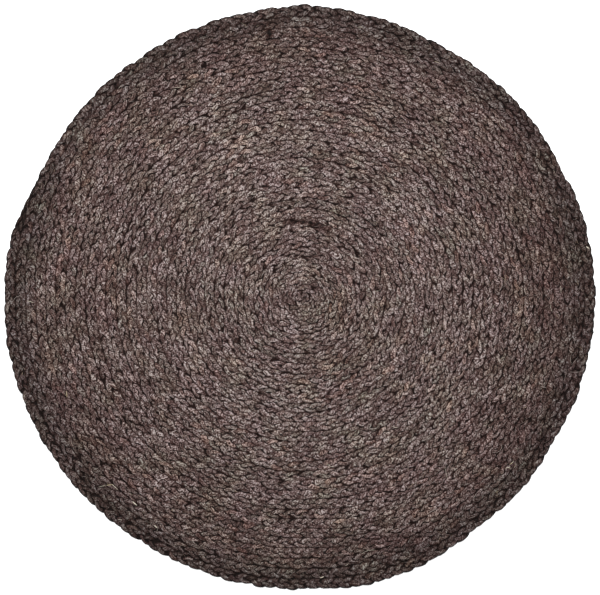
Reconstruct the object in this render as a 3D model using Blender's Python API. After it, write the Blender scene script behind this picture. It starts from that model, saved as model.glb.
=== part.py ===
"""Round rug of braided jute.

One long three-strand braid is wound flat into a coil, from a whorl in the middle outwards, and
sewn row to row. It is one solid: a flat underside, a top ribbed by the rows, and an uneven edge
of plait lobes, where the braid's tapered end is sewn down.

Metres, +Z up. The underside lies on z = 0, with the origin under the middle of the rug's box.
Seen from above, +Y is the far side and the braid runs outwards clockwise.
"""

import math
from collections import namedtuple

import bmesh
import bpy
from mathutils import Vector

# Driving sizes, in metres
ROWS = 29                # rows of braid between the middle and the edge, just past the braid's end
ROW_SPREAD = 1.04        # over 1, so that the rows are wound tighter towards the middle
CROWN = 0.0110           # height of a row's crown above the floor
SEAM_DIP = 0.0034        # how far the top dips to the seam between two rows
EDGE_HEIGHT = 0.0052     # height at which the edge row reaches furthest
EDGE_TUCK = 0.0026       # how far the edge row draws in from there, down to the floor
LOBE_SWING = 0.0012      # how far each plait lobe of the edge stands out, and each notch dips
WHORL = Vector((0.0075, 0.0010))        # start of the coil, off the middle of the edge

# The braid's end
TAIL_DIRECTION = math.radians(152)      # anticlockwise from +X
TAIL_TAPER = 20 / 360                   # share of a turn over which the braid thins to nothing

# How far the edge bulges from an even coil, along the last turn, clockwise from the braid's end.
# The even coil reaches START_REACH there, and one row further after the turn.
START_REACH = 0.591
EdgePoint = namedtuple("EdgePoint", "turned_deg bulge_mm")
EDGE = [
    EdgePoint(0, 0),
    EdgePoint(12, 2),
    EdgePoint(40, 3),
    EdgePoint(62, 8),
    EdgePoint(76, 4),
    EdgePoint(92, -1),
    EdgePoint(112, 5),
    EdgePoint(122, 2),
    EdgePoint(142, 8),
    EdgePoint(172, 2),
    EdgePoint(182, -4),
    EdgePoint(192, -2),
    EdgePoint(202, -6),
    EdgePoint(222, -1),
    EdgePoint(242, -10),
    EdgePoint(272, -10),
    EdgePoint(302, -6),
    EdgePoint(322, -2),
    EdgePoint(332, -5),
    EdgePoint(342, -2),
    EdgePoint(360, 0),
]

# The mesh's fineness
COLUMNS = 80             # radial lines of points at the edge
EDGE_SPLIT = 4           # points of the edge between two of those lines: two to a plait lobe
FIRST_ROW = 1            # the whorl inside this row is one low cap
FULL_COLUMNS_FROM = 9    # row from which every radial line is used
HALF_COLUMNS_FROM = 4    # row from which every second one is, and inside it every fourth
SHOULDER_ROW = ROWS + 0.34              # where the edge row's top turns down


def edge_bulge(turn):
    """Bulge of the edge, at a share of a turn clockwise from the braid's end."""
    turned = turn * 360
    for near, far in zip(EDGE, EDGE[1:]):
        if turned <= far.turned_deg:
            share = (turned - near.turned_deg) / (far.turned_deg - near.turned_deg)
            ease = (1 - math.cos(math.pi * share)) / 2
            return (near.bulge_mm + (far.bulge_mm - near.bulge_mm) * ease) / 1000
    return 0.0


def braid_width(turn):
    """Share of its full width that the last row has, which falls to nothing at the tail."""
    into_taper = (turn - (1 - TAIL_TAPER)) / TAIL_TAPER
    if into_taper <= 0:
        return 1
    return 1 - into_taper * into_taper * (3 - 2 * into_taper)


def on_coil(turn, row, outwards=0.0):
    """Plan position of a row: a whole number is a row's crown, and a half is the seam outside it."""
    last_seam = ROWS - 0.5
    if row > last_seam:
        row = last_seam + (row - last_seam) * braid_width(turn)
    share = (row + turn) / (ROWS + 0.5 + turn)
    even_reach = START_REACH * ((row + turn) / (ROWS + 0.5)) ** ROW_SPREAD
    reach = even_reach + edge_bulge(turn) * share ** 2 + outwards
    direction = TAIL_DIRECTION - turn * math.tau
    return WHORL * (1 - share) + reach * Vector((math.cos(direction), math.sin(direction)))


def strip_between(inner, outer):
    """Triangles between two lines of points with the same ends, of which one may be finer."""
    triangles = []
    here = there = 0
    while here < len(inner) - 1 or there < len(outer) - 1:
        inner_middle = (here + 0.5) / (len(inner) - 1)
        outer_middle = (there + 0.5) / (len(outer) - 1)
        if there == len(outer) - 1 or (here < len(inner) - 1 and inner_middle < outer_middle):
            triangles.append((inner[here], outer[there], inner[here + 1]))
            here += 1
        else:
            triangles.append((inner[here], outer[there], outer[there + 1]))
            there += 1
    return [three for three in triangles if len(set(three)) == 3]


def braided_rug():
    """The coiled braid as one closed mesh, wound clockwise, so its lines are read that way too."""
    mesh = bmesh.new()
    half_rows = range(2 * FIRST_ROW, 2 * ROWS + 2)
    shoulder = half_rows[-1]

    # The top: a crown line and a seam line for each row, out to the edge row's shoulder
    top = {}
    for half_row in half_rows:
        row = SHOULDER_ROW if half_row == shoulder else half_row / 2
        height = CROWN if half_row % 2 == 0 else CROWN - SEAM_DIP
        for column in range(COLUMNS):
            top[column, half_row] = mesh.verts.new((*on_coil(column / COLUMNS, row), height))

    def line_step(half_row):
        """Every fourth, second or single radial line carries a point of this line of the top."""
        if half_row < 2 * HALF_COLUMNS_FROM:
            return 4
        return 2 if half_row < 2 * FULL_COLUMNS_FROM else 1

    def line(half_row):
        """One turn of a line, which ends where the same line two half rows out begins."""
        points = [top[column, half_row] for column in range(0, COLUMNS, line_step(half_row))]
        return points + [top[0, min(half_row + 2, shoulder)]]

    triangles = []
    for half_row in half_rows[:-1]:
        triangles += strip_between(line(half_row), line(half_row + 1))

    # The whorl: a cap over the first turn, and the step where the coil starts
    rim = [top[0, half_rows[1]]] + line(half_rows[0])
    apex = sum((point.co for point in rim), Vector()) / len(rim)
    whorl = mesh.verts.new((apex.x, apex.y, CROWN))
    triangles += [(whorl, near, far) for near, far in zip(rim, rim[1:] + rim[:1])]

    # The edge row's side, with its plait lobes, and the flat underside
    belly = []
    foot = []
    for point in range(COLUMNS * EDGE_SPLIT):
        turn = point / (COLUMNS * EDGE_SPLIT)
        lobe = LOBE_SWING if point % 2 == 0 else -LOBE_SWING
        belly.append(mesh.verts.new((*on_coil(turn, ROWS + 0.5, lobe), EDGE_HEIGHT)))
        foot.append(mesh.verts.new((*on_coil(turn, ROWS + 0.5, lobe - EDGE_TUCK), 0)))
    for column in range(COLUMNS):
        first = column * EDGE_SPLIT
        side = [belly[(first + step) % len(belly)] for step in range(EDGE_SPLIT + 1)]
        top_edge = line(shoulder)[column:column + 2]
        triangles += strip_between(top_edge, side)
    triangles += strip_between(belly + belly[:1], foot + foot[:1])
    under = mesh.verts.new((0, 0, 0))
    triangles += [(under, far, near) for near, far in zip(foot[1:] + foot[:1], foot)]

    for three in triangles:
        mesh.faces.new(three)
    unused = [point for point in mesh.verts if not point.link_faces]
    bmesh.ops.delete(mesh, geom=unused, context="VERTS")
    bmesh.ops.recalc_face_normals(mesh, faces=mesh.faces)

    # Set the rug's box square over the origin
    across = [point.co.x for point in mesh.verts]
    along = [point.co.y for point in mesh.verts]
    middle = Vector(((min(across) + max(across)) / 2, (min(along) + max(along)) / 2, 0))
    bmesh.ops.translate(mesh, verts=mesh.verts, vec=-middle)

    data = bpy.data.meshes.new("braided_rug")
    mesh.to_mesh(data)
    mesh.free()
    data.shade_smooth()
    data.set_sharp_from_angle(angle=math.radians(40))
    rug = bpy.data.objects.new("braided_rug", data)
    bpy.context.scene.collection.objects.link(rug)
    return rug


def dark_jute():
    """Jute dyed a near-black brown: dull, dry and without sheen at this scale."""
    material = bpy.data.materials.new("dark_jute")
    material.use_nodes = True
    shader = material.node_tree.nodes["Principled BSDF"]
    shader.inputs["Base Color"].default_value = (0.120, 0.092, 0.084, 1)
    shader.inputs["Roughness"].default_value = 0.85
    shader.inputs["Metallic"].default_value = 0.0
    return material


for leftover in list(bpy.data.objects):
    bpy.data.objects.remove(leftover, do_unlink=True)
braided_rug().data.materials.append(dark_jute())
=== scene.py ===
"""Looks of the round rug of braided jute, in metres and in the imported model's own frame.

One three-strand plait of dark dyed jute winds clockwise outwards from a whorl in the middle. The
rows are sewn to each other, and the plait's end is thinned and sewn down at the upper left.
"""
import math

import bpy
import numpy as np
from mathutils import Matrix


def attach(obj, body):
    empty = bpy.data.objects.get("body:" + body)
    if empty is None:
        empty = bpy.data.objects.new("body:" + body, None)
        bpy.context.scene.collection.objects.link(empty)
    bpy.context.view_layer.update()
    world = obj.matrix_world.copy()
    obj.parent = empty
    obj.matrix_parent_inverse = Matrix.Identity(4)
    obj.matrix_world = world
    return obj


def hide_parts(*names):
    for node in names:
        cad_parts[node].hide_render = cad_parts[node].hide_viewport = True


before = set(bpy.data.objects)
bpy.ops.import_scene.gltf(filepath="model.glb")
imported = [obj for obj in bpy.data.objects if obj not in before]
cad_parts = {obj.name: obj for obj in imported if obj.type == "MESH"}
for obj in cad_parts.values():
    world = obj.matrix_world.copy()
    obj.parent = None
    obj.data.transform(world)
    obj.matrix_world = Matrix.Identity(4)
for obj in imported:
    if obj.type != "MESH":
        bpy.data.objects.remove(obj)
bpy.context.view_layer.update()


# ---- The three strands -----------------------------------------------------------------------
# Three loosely twisted strands of jute, dyed a near-black brown and plaited flat over and under
# each other. The plait is wound on edge to edge, so each row shows two lines of slanting lobes.

# The coil's line, as the solid has it
ROWS = 29.5                       # rows from the middle of the coil to its edge
TURNS = 30                        # turns of the coil, from its start to the braid's end
REACH = 0.591                     # the edge's reach at the braid's end
ROW_SPREAD = 1.04                 # over 1, so that the rows are wound tighter towards the middle
COIL_START = np.array((0.0069, -0.0028))                # where the whorl starts
COIL_MIDDLE = np.array((-0.00057, -0.00376))            # middle of the even coil's edge
TAIL_DIRECTION = math.radians(152)                      # where the braid ends, from +X
TAIL_TAPER = 20 / 360             # share of a turn over which it thins
TAIL_END = 0.12                   # share of its width that is left at its very end
WANDER = 0.0017                   # how far the rows stray from an even coil
WANDER_LENGTHS = (0.10, 0.26)     # the least and greatest length of the waves in which they do
WAVES = 14                        # how many such waves add up
EDGE_WANDER = 0.25                # share of it that is left at the edge
# How far the edge bulges from the even coil, at shares of a turn clockwise from the braid's end
EDGE_TURNED = np.array((0, 12, 40, 62, 76, 92, 112, 122, 142, 172, 182, 192, 202, 222, 242,
                        272, 302, 322, 332, 342, 360)) / 360
EDGE_BULGE = np.array((0, 2, 3, 8, 4, -1, 5, 2, 8, 2, -4, -2, -6, -1, -10,
                       -10, -6, -2, -5, -2, 0)) / 1000

# The plait
LOBES_PER_PERIOD = 3              # one for each strand
PERIOD = 0.0695                   # length in which a strand goes from side to side and back
ROW_WIDTH = 0.0203                # width of an ordinary row
LONE_TURN = 0.6                   # turn up to which a row has none inside it, and keeps one width
TIGHT_TURNS = 6                   # first turns, where the plait is tighter and flatter
TIGHT_PERIOD = 0.70               # share of its period at the very start
TIGHT_RELIEF = 0.72               # and of its relief
WIDE_TURNS = 9                    # first turns, where the strands swing wider
WIDE_SWING = 0.12                 # share by which they do at the very start
RINGS = 18                        # rings of points in a period
SIDES = 8                         # points round a ring
SWING = 0.322                     # how far a strand swings to either side, as a share of the row's width
PINCHED_WIDTH = 0.255             # half a strand's width where it dives, as a share of the row's
LOBE_WIDTH = 0.312                # and at the middle of a lobe
PINCHED_HEIGHT = 0.0022           # half its height where it dives
LOBE_HEIGHT = 0.0030              # and at the middle of a lobe
EDGE_WIDTH = 0.250                # half its width where it turns back at the row's edge
EDGE_HEIGHT = 0.0045              # and half its height there
EDGE_SHARPNESS = 3                # how briefly it turns there
MIDDLE_HEIGHT = 0.0055            # of the plait, above the floor
RISE = 0.0026                     # how far a strand rises over the others, and dips under them
STEEPNESS = 2.2                   # how steeply it dives under them
LOBE_POWER = 0.8                  # under 1, so that a lobe stays full for longer
PLUMP_POWER = 0.82                # under 1, so that its section swells towards a rounded box
START_LENGTH = 0.025              # length over which the plait's start is sewn down
START_SHARE = 0.85                # share of its thickness that is left there at first
ROLL = math.radians(24)           # how far a strand leans over the row's shoulder
PRESSED_HEIGHT = 0.0115           # height over which the lobes were pressed flat
PRESSED_SHARE = 0.35              # share that is left of what stood higher
# Painted shade, which darkens the clefts deep in the rug, the strands' flanks and the seams
CLEFT_TOP = 0.0027                # height over the rug's mid-height where its clefts begin
CLEFT_BOTTOM = 0.0016             # and where they are at their darkest
CLEFT_PAINTED_SHADE = 0.33                # share of the lobes' tone that is left there
FLANK = (0.65, 0.80)              # how far across a strand its flank begins to darken, and is darkest
FLANK_PAINTED_SHADE = 0.01                # share of its tone that is left there
SEAM_REACH = 0.15                 # how far from a seam, in half rows, the jute darkens towards it
SEAM_PAINTED_SHADE = 0.16                 # share of the tone that is left on it
TWIST_LENGTH = 0.115              # length in which a strand's fibres wind round it once
TWIST_RADIUS = 0.0042             # and how far from its middle they do
BUNDLES = 3                       # bundles of fibre in a strand, which make low ridges along it
RIDGE = 0.055                     # height of a ridge, as a share of half the strand's thickness
LUMPS = 0.035                     # and of the small lumps on it
APART = 80                        # from one strand to the next in the dye's noise, so none match
FIRST_TURN = 0.08                 # where the plait starts, in turns from the coil's own start
LAST_TURN = 29.99                 # and where it ends
SPLIT_TURN = 21.35                # where each strand is cut into an inner and an outer piece
STRIPS = 32                       # strips into which a piece's skin is laid out for baking
# How uneven the plait is: the size of each change along it, and the length over which it comes.
# Lobe and winding are in radians, place and height in metres, and the others are shares.
UNEVEN = {"period": (0.05, 0.35), "slack": (0.045, 0.16), "lobe": (0.17, 0.075),
          "swing": (0.07, 0.040), "place": (0.0006, 0.030), "dive": (0.10, 0.040),
          "height": (0.0003, 0.035), "thickness": (0.12, 0.050), "lumps": (0.09, 0.018),
          "fullness": (0.06, 0.030), "winding": (0.5, 0.12)}


def field(place, seed):
    """Smooth noise over the plan, of about unit size, from seeded plane waves."""
    dice = np.random.default_rng(seed)
    heading = dice.uniform(0, math.tau, WAVES)
    length = dice.uniform(*WANDER_LENGTHS, WAVES)
    phase = dice.uniform(0, math.tau, WAVES)
    across, along = np.cos(heading) / length, np.sin(heading) / length
    angle = math.tau * (np.outer(place[:, 0], across) + np.outer(place[:, 1], along)) + phase
    return np.sin(angle).sum(1) * math.sqrt(2 / WAVES)


def uneven(part, length, dice):
    """Smooth noise along a length, with a new seeded value at each knot."""
    size, knot = UNEVEN[part]
    knots = dice.standard_normal(int(length[-1] / knot) + 4)
    at = length / knot
    low = at.astype(int)
    share = at - low
    ease = share * share * (3 - 2 * share)
    # The easing evens the values out a little, which 1.15 makes up for
    unit = (knots[low] * (1 - ease) + knots[low + 1] * ease) * 1.15
    return size * unit


def on_coil(turns, rows_out=0.0):
    """Plan places at so many turns along the coil, and so many rows outwards from there."""
    turned = turns % 1
    near = np.clip(np.searchsorted(EDGE_TURNED, turned, "right") - 1, 0, len(EDGE_TURNED) - 2)
    share = (turned - EDGE_TURNED[near]) / (EDGE_TURNED[near + 1] - EDGE_TURNED[near])
    ease = (1 - np.cos(math.pi * share)) / 2
    bulge = EDGE_BULGE[near] * (1 - ease) + EDGE_BULGE[near + 1] * ease
    rows = np.maximum(turns + rows_out, 0.001)
    out = rows / TURNS
    reach = REACH * (rows / ROWS) ** ROW_SPREAD + bulge * out ** 2
    direction = TAIL_DIRECTION - turns * math.tau
    centre = np.outer(1 - out, COIL_START) + np.outer(out, COIL_MIDDLE)
    return centre + reach[:, None] * np.stack((np.cos(direction), np.sin(direction)), 1)


def tail_width(turns):
    """Share of its full width that the plait has, which falls off at its end."""
    into = np.clip((turns - (TURNS - TAIL_TAPER)) / TAIL_TAPER, 0, 1)
    return np.maximum(1 - into * into * (3 - 2 * into), TAIL_END)


def pushed(place):
    """The rows wander a little where the braid was pulled or pushed as it was sewn."""
    wander = np.stack((field(place, 11), field(place, 12)), 1)
    # From 0 at the edge to 1 at 10 cm inside it
    within = np.clip((0.60 - np.linalg.norm(place, axis=1)) / 0.10, 0, 1)
    return place + wander * WANDER * (EDGE_WANDER + (1 - EDGE_WANDER) * within)[:, None]


# The line of the plait, read off every few millimetres
walk = np.linspace(FIRST_TURN, LAST_TURN, 24000)
row_width = np.linalg.norm(pushed(on_coil(walk, 0.5)) - pushed(on_coil(walk, -0.5)), axis=1)
row_width[walk < LONE_TURN] = row_width[np.searchsorted(walk, LONE_TURN)]
plait_width = row_width * tail_width(walk)
line = pushed(on_coil(walk, -0.5 * (1 - tail_width(walk))))
step = np.linalg.norm(np.diff(line, axis=0), axis=1)
length = np.concatenate(((0,), np.cumsum(step)))
ahead = np.gradient(line, axis=0)
ahead /= np.linalg.norm(ahead, axis=1)[:, None]
outward = np.stack((-ahead[:, 1], ahead[:, 0]), 1)

loosened = np.clip(walk / TIGHT_TURNS, 0, 1)
period = PERIOD * (TIGHT_PERIOD + (1 - TIGHT_PERIOD) * loosened)
period = period * (1 + uneven("period", length, np.random.default_rng(5)))
periods = np.concatenate(((0,), np.cumsum(step / period[1:])))
ring_count = int(periods[-1] * RINGS)
ring_period = np.arange(ring_count + 1) / RINGS


def at_ring(values):
    """Values along the walk, read at the rings."""
    if values.ndim == 1:
        return np.interp(ring_period, periods, values)
    return np.stack([np.interp(ring_period, periods, part) for part in values.T], 1)


ring_turn, ring_length, ring_width = at_ring(walk), at_ring(length), at_ring(plait_width)
ring_line, ring_outward = at_ring(line), at_ring(outward)
# Where a row was sewn on slack it is thinner, and a dark gap shows beside it
ring_slack = uneven("slack", ring_length, np.random.default_rng(6))


def strand(number):
    """A strand's rings: their middles, the two axes of their sections, and their half sizes."""
    dice = np.random.default_rng(100 + number)
    turned = math.tau * (ring_period + number / LOBES_PER_PERIOD)
    turned = turned + uneven("lobe", ring_length, dice)
    full = ring_width / ROW_WIDTH
    relief = TIGHT_RELIEF + (1 - TIGHT_RELIEF) * np.clip(ring_turn / TIGHT_TURNS, 0, 1)
    wider = WIDE_SWING * (1 - np.clip(ring_turn / WIDE_TURNS, 0, 1))
    swing = SWING * ring_width * (1 + wider) * (1 + uneven("swing", ring_length, dice))
    aside = swing * np.sin(turned) + full * uneven("place", ring_length, dice)
    over = -np.sin(2 * turned) + uneven("dive", ring_length, dice)
    top, under = np.tanh(STEEPNESS * (over + 0.5)), np.tanh(STEEPNESS * (0.5 - over))
    height = MIDDLE_HEIGHT + RISE * relief * (top - under) / 2
    height = height + uneven("height", ring_length, dice)
    middle = np.zeros((len(turned), 3))
    middle[:, :2] = ring_line + ring_outward * aside[:, None]
    middle[:, 2] = height
    along = np.gradient(middle, axis=0)
    along /= np.linalg.norm(along, axis=1)[:, None]
    flat = np.cross(along, (0, 0, -1.0))
    flat /= np.linalg.norm(flat, axis=1)[:, None]
    upward = np.cross(flat, along)
    upward *= np.sign(upward[:, 2:])
    outer = np.sign((flat[:, :2] * ring_outward).sum(1))[:, None]
    flat = flat * outer
    lean = ROLL * np.sin(turned) * np.sin(2 * turned)
    wide = flat * np.cos(lean)[:, None] + upward * np.sin(lean)[:, None]
    tall = upward * np.cos(lean)[:, None] - flat * np.sin(lean)[:, None]
    lobe = np.abs(np.sin(2 * turned)) ** LOBE_POWER
    edge = np.abs(np.sin(turned)) ** EDGE_SHARPNESS
    thick = 1 + uneven("thickness", ring_length, dice) + uneven("lumps", ring_length, dice)
    thick = thick * (1 - ring_slack)
    narrow = PINCHED_WIDTH + (EDGE_WIDTH - PINCHED_WIDTH) * edge
    low = PINCHED_HEIGHT + (EDGE_HEIGHT - PINCHED_HEIGHT) * edge
    gathered = RISE * relief * (top + under) / 2
    low, high = low + gathered, LOBE_HEIGHT + gathered
    half_width = (narrow + (LOBE_WIDTH - narrow) * lobe) * ring_width * thick
    half_height = (low + (high - low) * lobe) * np.clip(full, 0.25, 1.1)
    half_height = half_height * (1 + uneven("fullness", ring_length, dice))
    sewn_down = START_SHARE + (1 - START_SHARE) * np.clip(ring_length / START_LENGTH, 0, 1)
    return middle, wide, tall, half_width * sewn_down, half_height * sewn_down


def plump(part):
    """Swells a sine or cosine, as a packed strand's section is fuller than an ellipse."""
    return np.sign(part) * np.abs(part) ** PLUMP_POWER


def new_mesh(name, places, faces):
    """A smooth mesh piece from arrays of points and triangles."""
    data = bpy.data.meshes.new(name)
    data.vertices.add(len(places))
    data.vertices.foreach_set("co", places.astype(np.float32).ravel())
    data.loops.add(faces.size)
    data.loops.foreach_set("vertex_index", faces.astype(np.int32).ravel())
    data.polygons.add(len(faces))
    data.polygons.foreach_set("loop_start", np.arange(len(faces), dtype=np.int32) * 3)
    data.update(calc_edges=True)
    data.shade_smooth()
    piece = bpy.data.objects.new(name, data)
    bpy.context.scene.collection.objects.link(piece)
    return piece


def tube_faces(rings, sides):
    """Triangles round a tube, and the fans that close its two ends."""
    ring, side = np.meshgrid(np.arange(rings - 1), np.arange(sides), indexing="ij")
    here = (ring * sides + side).ravel()
    turn = (ring * sides + (side + 1) % sides).ravel()
    there = here + sides
    over = turn + sides
    walls = np.stack((here, turn, over, here, over, there), 1).reshape(-1, 3)
    fan = np.arange(1, sides - 1)
    first = np.stack((np.zeros_like(fan), fan + 1, fan), 1)
    last = (rings - 1) * sides + np.stack((np.zeros_like(fan), fan, fan + 1), 1)
    return np.concatenate((walls, first, last))


def give(data, name, values):
    """Keeps a number, or three, at each point of a mesh for its material to read."""
    kind = "FLOAT" if values.ndim == 1 else "FLOAT_VECTOR"
    store = data.attributes.new(name, kind, "POINT")
    store.data.foreach_set("value" if kind == "FLOAT" else "vector", values.astype(np.float32).ravel())


def unroll(data, rings, sides, strips):
    """Lays a long tube's skin out in side-by-side strips, with its ends above them, for baking."""
    per_strip = -(-(rings - 1) // strips)
    quad = np.arange((rings - 1) * sides)
    ring, side = quad // sides, quad % sides
    left = (ring // per_strip + 0.04 + 0.92 * side / sides) / strips
    right = left + 0.92 / sides / strips
    low = 0.012 + 0.965 * (ring % per_strip) / per_strip
    high = low + 0.965 / per_strip
    walls = np.stack((left, low, right, low, right, high, left, low, right, high, left, high), 1)
    corner = np.arange(1, sides - 1)
    none = np.zeros_like(corner)
    ends = []
    for middle, fan in ((0.25, (none, corner + 1, corner)), (0.75, (none, corner, corner + 1))):
        turn = np.stack(fan, 1) * math.tau / sides
        ends.append(np.stack((middle + 0.004 * np.cos(turn), 0.990 + 0.004 * np.sin(turn)), 2))
    layer = data.uv_layers.new(name="OFBake")
    spots = np.concatenate([part.ravel() for part in (walls, *ends)])
    layer.uv.foreach_set("vector", spots.astype(np.float32))


strand_pieces = []
angle = np.arange(SIDES) * math.tau / SIDES
split = int(np.searchsorted(ring_turn, SPLIT_TURN))
for number in range(LOBES_PER_PERIOD):
    middle, wide, tall, half_width, half_height = strand(number)
    dice = np.random.default_rng(200 + number)
    winding = ring_length * math.tau / TWIST_LENGTH + uneven("winding", ring_length, dice)
    wound = angle[None, :] + winding[:, None]
    ridge = 1 + RIDGE * np.cos(BUNDLES * wound)
    ridge = ridge + LUMPS * dice.standard_normal(ridge.shape)
    across = (half_width[:, None] * plump(np.cos(angle)) * ridge)[:, :, None] * wide[:, None, :]
    upright = (half_height[:, None] * plump(np.sin(angle)) * ridge)[:, :, None] * tall[:, None, :]
    skin = middle[:, None, :] + across + upright
    # It lies flat on the floor, and was pressed flat on top too
    height = np.maximum(skin[:, :, 2], 0)
    proud = np.maximum(height - PRESSED_HEIGHT, 0)
    skin[:, :, 2] = np.minimum(height, PRESSED_HEIGHT + PRESSED_SHARE * proud)
    # Where a point lies round and along its strand
    fibre = np.stack((TWIST_RADIUS * np.cos(wound), TWIST_RADIUS * np.sin(wound),
                      np.repeat(ring_length[:, None] + APART * number, SIDES, 1)), 2)
    # How far a point lies across its strand, and across its row: 1 at the flank, and at the seam
    flank = np.tile(np.abs(plump(np.cos(angle))), (len(ring_turn), 1))
    aside = ((skin[:, :, :2] - ring_line[:, None]) * ring_outward[:, None]).sum(2)
    aside = np.abs(aside) / (0.5 * ring_width[:, None])
    for part, first, last in (("inner", 0, split), ("outer", split, len(ring_turn) - 1)):
        rings = last - first + 1
        places = skin[first:last + 1].reshape(-1, 3)
        piece = new_mesh(f"strand_{number + 1}_{part}", places, tube_faces(rings, SIDES))
        give(piece.data, "fibre", fibre[first:last + 1].reshape(-1, 3))
        give(piece.data, "flank", flank[first:last + 1].ravel())
        give(piece.data, "aside", aside[first:last + 1].ravel())
        unroll(piece.data, rings, SIDES, STRIPS)
        strand_pieces.append(piece)


# Dyed jute from its darkest shade to its palest, which is greyer and less red: a painted sheen that stands
# in for the fibres' pale highlights
PALEST_TONE = 3.0                 # tone of the palest, where that of most of the jute is near 1
SHADES_AND_SHEEN = ((0.00, (0.0050, 0.0018, 0.0012)), (0.10, (0.0540, 0.0245, 0.0205)),
          (0.33, (0.1610, 0.1105, 0.1015)), (0.66, (0.3160, 0.2520, 0.2370)),
          (1.00, (0.4950, 0.4260, 0.4090)))
# Tints of the patches and of the lots of fibre, by which the dyed colour is multiplied
TAN, MAUVE = (0.985, 1.005, 0.92), (1.01, 0.968, 1.005)
RUST, SOOT = (1.09, 0.95, 0.88), (0.89, 0.98, 0.93)
RIM = (0.92, 1.06, 1.08)          # the edge rows' tint, which is less red


# Places where the rug took more dye, or wore paler: the middle and reach of each in the plan, in
# millimetres, and how its tone compares with the rest
PLACES_HEIGHT = 0.010             # height of their middles above the floor
PLACES = ((500, 55, 200, 0.78), (440, -275, 160, 0.80), (-415, -245, 150, 0.82), (410, 220, 95, 0.88),
          (-340, 240, 80, 0.86), (-330, 0, 190, 0.86), (105, -95, 115, 0.84), (-125, 70, 100, 0.85),
          (45, 150, 80, 0.88), (-45, -225, 120, 1.24), (-135, 350, 75, 1.22), (-45, 215, 75, 1.20),
          (125, -400, 90, 1.16), (290, 215, 70, 1.14), (-250, 190, 70, 0.86))
# And painted shade where a seam gapes for a short way
SEAM_GAP_SHADE = ((-64, 545, 17, 0.0), (-63, 538, 14, 0.10), (-90, 556, 12, 0.20), (-77, 559, 12, 0.20),
        (-64, 561, 12, 0.20), (-50, 562, 12, 0.20), (-30, 154, 11, 0.15), (-18, 155, 12, 0.10),
        (-5, 155, 12, 0.05), (8, 154, 12, 0.0), (21, 152, 12, 0.0), (34, 149, 12, 0.05),
        (47, 145, 12, 0.10), (60, 140, 11, 0.15))


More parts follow.
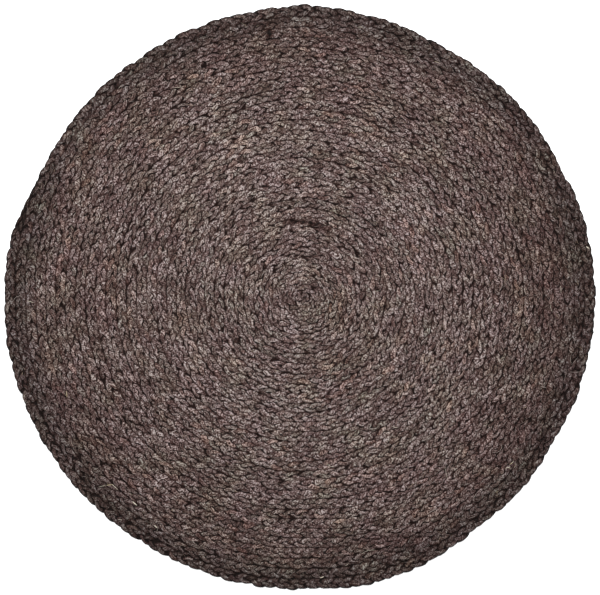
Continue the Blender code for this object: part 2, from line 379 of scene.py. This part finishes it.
def jute(name, shade, streak=1.0, painted_shade=True):
    """Dyed jute: streaks along the fibre, uneven dye in lots and patches, a painted sheen in its palest
    tones, and painted shade in its clefts, seams and crevices.
    """
    material = bpy.data.materials.new(name)
    material.use_nodes = True
    nodes, link = material.node_tree.nodes, material.node_tree.links.new
    shader = nodes["Principled BSDF"]

    def node(kind, **settings):
        made = nodes.new(kind)
        for key, value in settings.items():
            setattr(made, key, value)
        return made

    along = node("ShaderNodeAttribute", attribute_name="fibre").outputs["Vector"]
    spot = node("ShaderNodeTexCoord").outputs["Object"]

    def grain(place, scale, detail):
        stretch = node("ShaderNodeMapping")
        stretch.inputs["Scale"].default_value = scale
        link(place, stretch.inputs["Vector"])
        noise = node("ShaderNodeTexNoise")
        noise.inputs["Scale"].default_value = 1.0
        noise.inputs["Detail"].default_value = detail
        link(stretch.outputs["Vector"], noise.inputs["Vector"])
        return noise.outputs["Fac"]

    def levels(value, from_low, from_high, to_low, to_high, eased="LINEAR"):
        remap = node("ShaderNodeMapRange", clamp=True, interpolation_type=eased)
        for socket, number in zip(("From Min", "From Max", "To Min", "To Max"),
                                  (from_low, from_high, to_low, to_high)):
            remap.inputs[socket].default_value = number
        link(value, remap.inputs["Value"])
        return remap.outputs["Result"]

    def both(kind, first, second):
        result = node("ShaderNodeMath", operation=kind)
        for socket, value in zip(result.inputs, (first, second)):
            if isinstance(value, (int, float)):
                socket.default_value = value
            else:
                link(value, socket)
        return result.outputs["Value"]

    def dyed(colour, share, tint):
        # A colour mix has its share at input 0, and its two colours at 6 and 7
        mix = node("ShaderNodeMix", data_type="RGBA", blend_type="MULTIPLY")
        link(share, mix.inputs[0])
        link(colour, mix.inputs[6])
        mix.inputs[7].default_value = (*tint, 1)
        return mix.outputs[2]

    bundles = grain(along, (480 * streak, 480 * streak, 230 * streak), 1.0)
    fibres = grain(along, (560 * streak, 560 * streak, 420 * streak), 1.0)
    blotches = grain(along, (60, 60, 38), 1.0)
    lots = grain(along, (40, 40, 4.0), 1.0)
    patches = grain(spot, (9, 9, 9), 2.0)
    stains = grain(spot, (19, 19, 19), 2.0)

    tone = levels(bundles, 0.36, 0.64, 0.54 * shade, 1.52 * shade)
    tone = both("MULTIPLY", tone, levels(fibres, 0.38, 0.64, 0.14, 2.12))
    tone = both("MULTIPLY", tone, levels(blotches, 0.34, 0.66, 0.58, 1.46))
    tone = both("MULTIPLY", tone, levels(lots, 0.34, 0.66, 0.86, 1.14))
    tone = both("MULTIPLY", tone, levels(patches, 0.30, 0.70, 0.90, 1.10))
    # Dye patches, and the painted shade where seams gape
    for x, y, breadth, share in PLACES + SEAM_GAP_SHADE:
        away = node("ShaderNodeVectorMath", operation="DISTANCE")
        link(spot, away.inputs[0])
        away.inputs[1].default_value = (x / 1000, y / 1000, PLACES_HEIGHT)
        stain_and_gap_shade = levels(away.outputs["Value"], 0, breadth / 1000, share, 1.0, "SMOOTHSTEP")
        tone = both("MULTIPLY", tone, stain_and_gap_shade)

    # The jute is darker towards the edge
    reach = node("ShaderNodeVectorMath", operation="LENGTH")
    link(spot, reach.inputs[0])
    tone = both("MULTIPLY", tone, levels(reach.outputs["Value"], 0.34, 0.50, 1.0, 0.80))
    tone = both("MULTIPLY", tone, levels(reach.outputs["Value"], 0.50, 0.58, 1.0, 0.64))
    if painted_shade:
        # Painted shade: the lobes' flanks are darker the deeper they lie between the two faces of the rug,
        # as in the shadow of a cleft
        height = node("ShaderNodeSeparateXYZ")
        link(spot, height.inputs[0])
        depth = both("ABSOLUTE", both("SUBTRACT", height.outputs["Z"], MIDDLE_HEIGHT), 0)
        tone = both("MULTIPLY", tone, levels(depth, CLEFT_BOTTOM, CLEFT_TOP, CLEFT_PAINTED_SHADE, 1.0))
        # Painted shade: dark lines part the strands from each other, where they dip between their
        # neighbours, and fainter ones the rows along their seams
        flank = node("ShaderNodeAttribute", attribute_name="flank").outputs["Fac"]
        tone = both("MULTIPLY", tone, levels(flank, *FLANK, 1.0, FLANK_PAINTED_SHADE))
        aside = node("ShaderNodeAttribute", attribute_name="aside").outputs["Fac"]
        to_seam = both("ABSOLUTE", both("SUBTRACT", aside, 1.0), 0)
        tone = both("MULTIPLY", tone, levels(to_seam, 0.0, SEAM_REACH, SEAM_PAINTED_SHADE, 1.0))
        # Painted shade on the edge row's outer flank, where the rim turns away from the light
        painted_rim_shade = levels(depth, 0.0032, 0.0054, 0.18, 1.0)
        inside = levels(reach.outputs["Value"], 0.568, 0.588, 1.0, 0.0)
        tone = both("MULTIPLY", tone, both("MAXIMUM", painted_rim_shade, inside))
        # Painted shade in the crevices on top, where two lobes press together: the occlusion darkens them
        # as shadow would
        occlusion = node("ShaderNodeAmbientOcclusion", samples=4)
        occlusion.inputs["Distance"].default_value = 0.003
        underneath = levels(height.outputs["Z"], 0.0035, 0.0060, 1.0, 0.0)
        painted_crack_shade = levels(occlusion.outputs["AO"], 0.36, 0.74, 0.02, 1.0)
        tone = both("MULTIPLY", tone, both("MAXIMUM", painted_crack_shade, underneath))

    # The tone becomes colour here; the palest, greyer end of the ramp is painted sheen
    ramp = node("ShaderNodeValToRGB")
    link(both("DIVIDE", tone, PALEST_TONE), ramp.inputs["Fac"])
    steps = ramp.color_ramp.elements
    while len(steps) < len(SHADES_AND_SHEEN):
        steps.new(0.5)
    for step, (position, colour) in zip(steps, SHADES_AND_SHEEN):
        step.position = position
        step.color = (*colour, 1)
    colour = ramp.outputs["Color"]
    colour = dyed(colour, levels(stains, 0.50, 0.68, 0, 1), TAN)
    colour = dyed(colour, levels(stains, 0.50, 0.34, 0, 1), MAUVE)
    colour = dyed(colour, levels(lots, 0.54, 0.72, 0, 1), RUST)
    colour = dyed(colour, levels(lots, 0.46, 0.30, 0, 1), SOOT)
    colour = dyed(colour, levels(reach.outputs["Value"], 0.535, 0.570, 0, 1), RIM)
    link(colour, shader.inputs["Base Color"])

    bump = node("ShaderNodeBump")
    bump.inputs["Strength"].default_value = 1.0
    bump.inputs["Distance"].default_value = 0.004
    link(both("ADD", both("MULTIPLY", bundles, 0.7), both("MULTIPLY", fibres, 0.3)), bump.inputs["Height"])
    link(bump.outputs["Normal"], shader.inputs["Normal"])
    link(levels(fibres, 0.3, 0.7, 0.42, 0.65), shader.inputs["Roughness"])
    shader.inputs["Specular IOR Level"].default_value = 0.12
    shader.inputs["Sheen Weight"].default_value = 0.03
    shader.inputs["Sheen Roughness"].default_value = 0.5
    shader.inputs["Sheen Tint"].default_value = (1.0, 0.93, 0.90, 1)
    return material


strand_jute = jute("strand_jute", 0.99)
for piece in strand_pieces:
    piece.data.materials.append(strand_jute)
    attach(piece, "root")


# ---- The packed fibre inside the braid -------------------------------------------------------
# Inside the braid, and where the thread pulls two rows together, the jute is packed tight. That dark fibre
# closes the clefts between the lobes, so nothing shows through the rug. Its near-black colour is partly
# the packed jute's own and partly painted shade, standing for the shadow deep in the clefts.
CORE_COLUMNS = 160                # radial lines of points
# Heights of its top and underside, at a row's crown and at a seam
CORE_HEIGHTS = {"crown": (0.0074, 0.0036), "seam": (0.0064, 0.0046)}
CORE_EDGE = 0.0042                # how far it stays inside the edge row's lobes
CORE_RIM = 0.0004                 # half its thickness there

columns = np.arange(CORE_COLUMNS) / CORE_COLUMNS
half_rows = np.arange(2, 2 * TURNS)
last_seam = ROWS - 1
layers = []
for side in (0, 1):
    lines = []
    for half_row in half_rows:
        row = half_row / 2
        out = row if row <= last_seam else last_seam + (row - last_seam) * tail_width(TURNS - 1 + columns)
        place = pushed(on_coil(columns, out))
        if half_row == half_rows[-1]:
            towards = place / np.linalg.norm(place, axis=1)[:, None]
            place = place - towards * CORE_EDGE
        height = CORE_HEIGHTS["crown" if half_row % 2 == 0 else "seam"][side]
        if half_row == half_rows[-1]:
            height = sum(CORE_HEIGHTS["seam"]) / 2 + (CORE_RIM if side == 0 else -CORE_RIM)
        lines.append(np.column_stack((place, np.full(CORE_COLUMNS, height))))
    layers.append(lines)

places = []
faces = []
flat_faces = []                   # where each face's corners lie in the bake layout
start = {}


def add_face(three, side):
    """A face of the top (0) or the underside (1), each laid out as a disc of its own."""
    if len(set(three)) == 3:
        three = three if side else three[::-1]
        faces.append(three)
        flat_faces.append([(0.25 + 0.5 * side + places[point][0] * 0.39, 0.5 + places[point][1] * 0.79)
                           for point in three])


for side, lines in enumerate(layers):
    for index, points in enumerate(lines):
        start[side, index] = len(places)
        places.extend(points)
    for index in range(len(lines) - 1):
        for column in range(CORE_COLUMNS):
            # Where a line closes on itself, the coil has moved on by one row
            here = start[side, index] + column
            out = start[side, index + 1] + column
            if column + 1 < CORE_COLUMNS:
                out_next, next_one = out + 1, here + 1
            else:
                out_next = start[side, min(index + 3, len(lines) - 1)]
                next_one = start[side, min(index + 2, len(lines) - 1)]
            add_face((here, out, out_next), side)
            add_face((here, out_next, next_one), side)
# The whorl's cap
for side in (0, 1):
    rim = [start[side, 0] + column for column in range(CORE_COLUMNS)]
    rim += [start[side, 2], start[side, 1]]
    middle = np.mean([places[point] for point in rim], axis=0)
    middle[2] = CORE_HEIGHTS["crown"][side]
    places.append(middle)
    for here, there in zip(rim, rim[1:] + rim[:1]):
        add_face((len(places) - 1, here, there), side)
# The edge
last = len(half_rows) - 1
for column in range(CORE_COLUMNS):
    onward = (column + 1) % CORE_COLUMNS
    a, b = start[0, last] + column, start[0, last] + onward
    c, d = start[1, last] + onward, start[1, last] + column
    left, right = 0.01 + 0.98 * column / CORE_COLUMNS, 0.01 + 0.98 * (column + 1) / CORE_COLUMNS
    faces += [(a, b, c), (a, c, d)]
    flat_faces += [[(left, 0.014), (right, 0.014), (right, 0.004)],
                   [(left, 0.014), (right, 0.004), (left, 0.004)]]
core = new_mesh("packed_fibre_and_shade", np.array(places), np.array(faces))
give(core.data, "fibre", np.array(places))
layer = core.data.uv_layers.new(name="OFBake")
layer.uv.foreach_set("vector", np.array(flat_faces, dtype=np.float32).ravel())
# It is near-black, partly painted shade for the deep clefts that it fills
core.data.materials.append(jute("packed_jute_and_shade", 0.05, painted_shade=False))
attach(core, "root")
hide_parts("braided_rug")


# ---- The sewing thread -----------------------------------------------------------------------
# A dark twisted thread sews each row to the one inside it. It crosses the seam at each lobe above
# and at every second one below, and pulls into the jute, so only short slanting stitches show.
STITCH_SPACING = 0.0235           # from one stitch to the next
STITCH_REACH = 0.0034             # how far a stitch goes to either side of the seam
STITCH_SLANT = 0.0045             # how far along the seam it goes meanwhile
STITCH_HEIGHT = 0.0024            # its height at the seam, over the rug's mid-height
STITCH_SINK = 0.0016              # how far its ends pull down from there
STITCH_POINTS = 4                 # points along it
THREAD_RADIUS = 0.00042           # half the thread's thickness
THREAD_SIDES = 4                  # sides of its section


def tube_laid_flat(rings, sides):
    """One short tube's skin laid flat in the unit square, corner by corner of its triangles."""
    quad = np.arange((rings - 1) * sides)
    ring, side = quad // sides, quad % sides
    left, right = side / sides, (side + 1) / sides
    low, high = 0.10 + 0.8 * ring / (rings - 1), 0.10 + 0.8 * (ring + 1) / (rings - 1)
    walls = np.stack((right, high, right, low, left, low, left, high, right, high, left, low), 1)
    corner = np.arange(1, sides - 1)
    none = np.zeros_like(corner)
    ends = []
    for middle, fan in ((0.04, (corner, corner + 1, none)), (0.96, (corner + 1, corner, none))):
        turn = np.stack(fan, 1) * math.tau / sides
        ends.append(np.stack((0.5 + 0.3 * np.cos(turn), middle + 0.035 * np.sin(turn)), 2).reshape(-1, 2))
    return np.concatenate((walls.reshape(-1, 2), *ends))


def small_tubes(name, paths, radii, sides):
    """Many short closed tubes as one mesh. Each is laid in a small cell of its own for baking."""
    count, points = paths.shape[:2]
    along = np.gradient(paths, axis=1)
    along /= np.linalg.norm(along, axis=2)[:, :, None]
    side = np.cross(along, (0, 0, 1.0))
    side /= np.maximum(np.linalg.norm(side, axis=2), 1e-9)[:, :, None]
    other = np.cross(side, along)
    angle = np.arange(sides) * math.tau / sides
    ring = (side[:, :, None] * np.cos(angle)[None, None, :, None]
            + other[:, :, None] * np.sin(angle)[None, None, :, None])
    skin = paths[:, :, None] + ring * radii[:, :, None, None]
    one = tube_faces(points, sides)[:, ::-1]
    faces = (one[None] + (np.arange(count) * points * sides)[:, None, None]).reshape(-1, 3)
    piece = new_mesh(name, skin.reshape(-1, 3), faces)
    cells = math.ceil(math.sqrt(count))
    cell = np.stack((np.arange(count) % cells, np.arange(count) // cells), 1)
    spots = (cell[:, None] + 0.08 + 0.84 * tube_laid_flat(points, sides)[None]) / cells
    layer = piece.data.uv_layers.new(name="OFBake")
    layer.uv.foreach_set("vector", spots.astype(np.float32).ravel())
    return piece


dice = np.random.default_rng(31)
# The seam outside each row, up to where the braid's end begins to thin
seam_turns = walk[(walk > 1.0) & (walk < 28.93)]
seam = pushed(on_coil(seam_turns, 0.5))
seam_length = np.concatenate(((0,), np.cumsum(np.linalg.norm(np.diff(seam, axis=0), axis=1))))
spots = np.arange(0.01, seam_length[-1], STITCH_SPACING)
spots = spots + dice.uniform(-0.002, 0.002, len(spots))
seam_place = np.stack([np.interp(spots, seam_length, part) for part in seam.T], 1)
seam_ahead = np.stack([np.interp(spots + 0.002, seam_length, part) for part in seam.T], 1) - seam_place
seam_ahead /= np.linalg.norm(seam_ahead, axis=1)[:, None]
seam_out = np.stack((-seam_ahead[:, 1], seam_ahead[:, 0]), 1)
stitches = []
for face, every in ((1, 1), (-1, 2)):              # the top, and then the underside
    share = np.linspace(-1, 1, STITCH_POINTS)
    base = seam_place[::every]
    aside = STITCH_REACH * share[None, :, None] * seam_out[::every][:, None]
    slant = STITCH_SLANT * share[None, :, None] * seam_ahead[::every][:, None] * 0.5
    path = np.zeros((len(base), STITCH_POINTS, 3))
    path[:, :, :2] = base[:, None] + aside + slant
    path[:, :, 2] = MIDDLE_HEIGHT + face * (STITCH_HEIGHT - STITCH_SINK * share ** 2)
    stitches.append(path)
stitches = np.concatenate(stitches)
thread = small_tubes("sewing_thread", stitches, np.full(stitches.shape[:2], THREAD_RADIUS), THREAD_SIDES)
give(thread.data, "fibre", np.array([v.co for v in thread.data.vertices]) * 3)
thread.data.materials.append(jute("dark_thread", 0.12, streak=1.6, painted_shade=False))
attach(thread, "root")


# ---- The loose fibres ------------------------------------------------------------------------
# Jute is a coarse, brittle fibre, so ends of it work loose all over the rug. They lie along and
# across the lobes in short curls, and many of them took less dye than the rest.
LOOSE_TOP = 4600                  # loose fibres on the top
LOOSE_UNDER = 500                 # and on the underside
LOOSE_LIMIT = 0.0138              # the greatest height a fibre springs up to
POINTS = 5                        # points along a fibre
FIBRE_SIDES = 3                   # sides of its section
FIBRE_LENGTH = 0.011              # its usual length
FIBRE_LENGTHS = (0.004, 0.032)    # and the least and the greatest
FIBRE_RADIUS = 0.00022            # half its usual thickness
FIBRE_RADII = (0.0001, 0.0007)    # and the least and the greatest
FIBRE_TAPER = np.array((0.45, 0.9, 1.0, 0.9, 0.45))     # share of that at each point
CURL = 45                         # how sharply it usually bends, in radians to a metre
# A few undyed fibres catch the eye: the ends and bend of each in the plan, in millimetres, its
# thickness, and how pale it is
PALE = (((-414, -390), (-386, -385), (-374, -396), 1.9, 4.6),       # a long kinked hair
        ((-344, -420), (-340, -424), (-335, -428), 3.8, 4.6),
        ((-300, -469), (-296, -472), (-293, -475), 3.2, 4.6),
        ((41, -577), (45, -576), (49, -574), 2.8, 4.0),
        ((588, 104), (592, 101), (595, 98), 3.4, 4.6),
        ((422, -352), (427, -350), (433, -352), 2.4, 4.2),
        ((430, -345), (434, -342), (439, -337), 2.0, 3.8))

all_skin = np.concatenate([np.array([v.co for v in piece.data.vertices]) for piece in strand_pieces])
CELL = 0.002                      # size of a cell of the maps of the strands' height
MAP_REACH = 0.62                  # how far the maps reach from the middle
grid_size = int(2 * MAP_REACH / CELL)
cell = np.clip(((all_skin[:, :2] + MAP_REACH) / CELL).astype(int), 0, grid_size - 1)
top_map = np.full((grid_size, grid_size), MIDDLE_HEIGHT)
np.maximum.at(top_map, (cell[:, 0], cell[:, 1]), all_skin[:, 2])
under_map = np.full((grid_size, grid_size), MIDDLE_HEIGHT)
np.minimum.at(under_map, (cell[:, 0], cell[:, 1]), all_skin[:, 2])
# A cell takes in its neighbours on all sides
for across in (0, 1):
    top_map = np.max([np.roll(top_map, shift, across) for shift in (-1, 0, 1)], axis=0)
    under_map = np.min([np.roll(under_map, shift, across) for shift in (-1, 0, 1)], axis=0)


def surface(place, height_map):
    """Height of the strands' top or underside below or above a place."""
    spot = np.clip(((place + MAP_REACH) / CELL).astype(int), 0, grid_size - 1)
    return height_map[spot[..., 0], spot[..., 1]]


def loose(count, seed, face):
    """Paths of loose fibres that lie on the top (1) or the underside (-1) of the rug."""
    dice = np.random.default_rng(seed)
    # They are spread evenly over the rug, and keep off the seams
    rows = np.sqrt(dice.uniform(0.2, 29.3 ** 2, count))
    turns = np.floor(rows) + dice.uniform(0, 1, count)
    off_row = (rows - np.floor(rows) - 0.5) * 0.8
    place = pushed(on_coil(turns, off_row))
    ahead = pushed(on_coil(turns + 0.002, off_row)) - place
    heading = np.arctan2(ahead[:, 1], ahead[:, 0])
    heading = heading + dice.choice((-1, 1), count) * dice.gamma(1.6, 0.30, count)
    long = np.clip(dice.lognormal(math.log(FIBRE_LENGTH), 0.45, count), *FIBRE_LENGTHS)
    curl = dice.normal(0, CURL, count)
    share = np.linspace(-0.5, 0.5, POINTS)
    bend = heading[:, None] + curl[:, None] * long[:, None] * share[None]
    stride = long[:, None] / (POINTS - 1)
    moves = np.stack((np.cos(bend), np.sin(bend)), 2) * stride[:, :, None]
    plan = place[:, None] + np.cumsum(moves, 1) - moves.sum(1)[:, None] / 2
    # A fibre bridges the hollows between the lobes, and its middle springs up
    lift = dice.gamma(1.3, 0.0005, count)[:, None] * (1 - (2 * share[None]) ** 2) + 0.0001
    height = surface(plan, top_map if face > 0 else under_map)
    height = 0.5 * height + 0.5 * (height.max(1) if face > 0 else height.min(1))[:, None]
    height = np.minimum(height + face * lift, LOOSE_LIMIT)
    return np.concatenate((plan, height[:, :, None]), 2)


top_paths = loose(LOOSE_TOP, 41, 1)
under_paths = loose(LOOSE_UNDER, 42, -1)
under_paths[:, :, 2] = np.maximum(under_paths[:, :, 2], 0.0003)
pale_paths = np.zeros((len(PALE), POINTS, 3))
for path, (first, bend, last, size, whiteness) in zip(pale_paths, PALE):
    share = np.linspace(0, 2, POINTS)
    for axis in (0, 1):
        path[:, axis] = np.interp(share, (0, 1, 2), (first[axis], bend[axis], last[axis])) / 1000
    path[:, 2] = np.minimum(surface(path[:, :2], top_map).max() - size / 4000, LOOSE_LIMIT - 0.001)
paths = np.concatenate((top_paths, under_paths, pale_paths))
dice = np.random.default_rng(43)
thick = np.clip(dice.lognormal(math.log(FIBRE_RADIUS), 0.45, len(paths)), *FIBRE_RADII)
thick[-len(PALE):] = [size / 2000 for *ends, size, whiteness in PALE]
fibres = small_tubes("loose_fibres", paths, thick[:, None] * FIBRE_TAPER, FIBRE_SIDES)
pale = np.clip(dice.lognormal(0, 0.55, len(paths)), 0.3, 3.5)
pale[-len(PALE):] = [whiteness for *ends, whiteness in PALE]
give(fibres.data, "pale", np.repeat(pale, POINTS * FIBRE_SIDES))

fibre_material = bpy.data.materials.new("loose_jute")
fibre_material.use_nodes = True
nodes, link = fibre_material.node_tree.nodes, fibre_material.node_tree.links.new
shader = nodes["Principled BSDF"]
paleness = nodes.new("ShaderNodeAttribute")
paleness.attribute_name = "pale"
# Dye took unevenly along a fibre, and some fibres stayed golden
spot = nodes.new("ShaderNodeTexCoord")
faded = nodes.new("ShaderNodeTexNoise")
faded.inputs["Scale"].default_value = 350
golden = nodes.new("ShaderNodeTexNoise")
golden.inputs["Scale"].default_value = 60
for noise in (faded, golden):
    link(spot.outputs["Object"], noise.inputs["Vector"])
share = nodes.new("ShaderNodeMapRange")
for socket, number in (("From Min", 0.3), ("From Max", 0.7), ("To Min", 0.22), ("To Max", 0.38)):
    share.inputs[socket].default_value = number
link(faded.outputs["Fac"], share.inputs["Value"])
scale = nodes.new("ShaderNodeMath")
scale.operation = "MULTIPLY"
link(paleness.outputs["Fac"], scale.inputs[0])
link(share.outputs["Result"], scale.inputs[1])
ramp = nodes.new("ShaderNodeValToRGB")
ramp.color_ramp.elements[0].color = (0.055, 0.040, 0.035, 1)
ramp.color_ramp.elements[1].position = 1.0
ramp.color_ramp.elements[1].color = (0.76, 0.68, 0.55, 1)
for position, shade in ((0.3, (0.27, 0.205, 0.185, 1)), (0.7, (0.50, 0.41, 0.37, 1))):
    ramp.color_ramp.elements.new(position).color = shade
link(scale.outputs["Value"], ramp.inputs["Fac"])
how_golden = nodes.new("ShaderNodeMapRange")
how_golden.inputs["From Min"].default_value = 0.54
how_golden.inputs["From Max"].default_value = 0.64
link(golden.outputs["Fac"], how_golden.inputs["Value"])
tint = nodes.new("ShaderNodeMix")
tint.data_type = "RGBA"
tint.blend_type = "MULTIPLY"
tint.inputs[7].default_value = (1.0, 0.90, 0.70, 1)
link(how_golden.outputs["Result"], tint.inputs[0])
link(ramp.outputs["Color"], tint.inputs[6])
link(tint.outputs[2], shader.inputs["Base Color"])
shader.inputs["Roughness"].default_value = 0.55
fibres.data.materials.append(fibre_material)
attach(fibres, "root")


# ---- The studio ------------------------------------------------------------------------------
# The rug lies flat on a white floor, under a large soft light and a white room, and the camera
# looks straight down on it.
FLOOR = 6.0                       # length of the floor's sides
PICTURE = 600                     # width of the picture, in pixels
PIXEL = 0.002057                  # metres to a pixel, at PIXEL_HEIGHT above the floor
PIXEL_HEIGHT = 0.006
LENS = 100                        # the camera's focal length, in millimetres
SENSOR = 36                       # and the width of its sensor

floor_data = bpy.data.meshes.new("floor")
corner = FLOOR / 2
corners = [(-corner, -corner, 0), (corner, -corner, 0), (corner, corner, 0), (-corner, corner, 0)]
floor_data.from_pydata(corners, [], [(0, 1, 2, 3)])
floor = bpy.data.objects.new("floor", floor_data)
bpy.context.scene.collection.objects.link(floor)
floor_material = bpy.data.materials.new("white_floor")
floor_material.use_nodes = True
floor_shader = floor_material.node_tree.nodes["Principled BSDF"]
floor_shader.inputs["Base Color"].default_value = (0.90, 0.90, 0.90, 1)
floor_shader.inputs["Roughness"].default_value = 0.9
floor_shader.inputs["Emission Color"].default_value = (1, 1, 1, 1)
floor_shader.inputs["Emission Strength"].default_value = 0.75
floor_data.materials.append(floor_material)
floor.location.z = -0.0002        # just under the rug, so that the two don't meet in one plane

world = bpy.data.worlds.new("white_room")
world.use_nodes = True
world.node_tree.nodes["Background"].inputs["Color"].default_value = (1, 1, 1, 1)
world.node_tree.nodes["Background"].inputs["Strength"].default_value = 0.22
bpy.context.scene.world = world

light = bpy.data.lights.new("key_light", "AREA")
light.size = 0.9
light.energy = 100
lamp = bpy.data.objects.new("key_light", light)
lamp.location = (-0.12, 0.80, 3.0)
lamp.rotation_euler = (-lamp.location).to_track_quat("-Z", "Y").to_euler()
bpy.context.scene.collection.objects.link(lamp)

camera_data = bpy.data.cameras.new("camera")
camera_data.lens = LENS
camera_data.sensor_width = SENSOR
camera_data.clip_end = 50
camera = bpy.data.objects.new("camera", camera_data)
camera.location = (0, -0.5 * PIXEL, PICTURE * PIXEL * LENS / SENSOR + PIXEL_HEIGHT)
bpy.context.scene.collection.objects.link(camera)
bpy.context.scene.camera = camera
bpy.context.scene.view_settings.view_transform = "Standard"
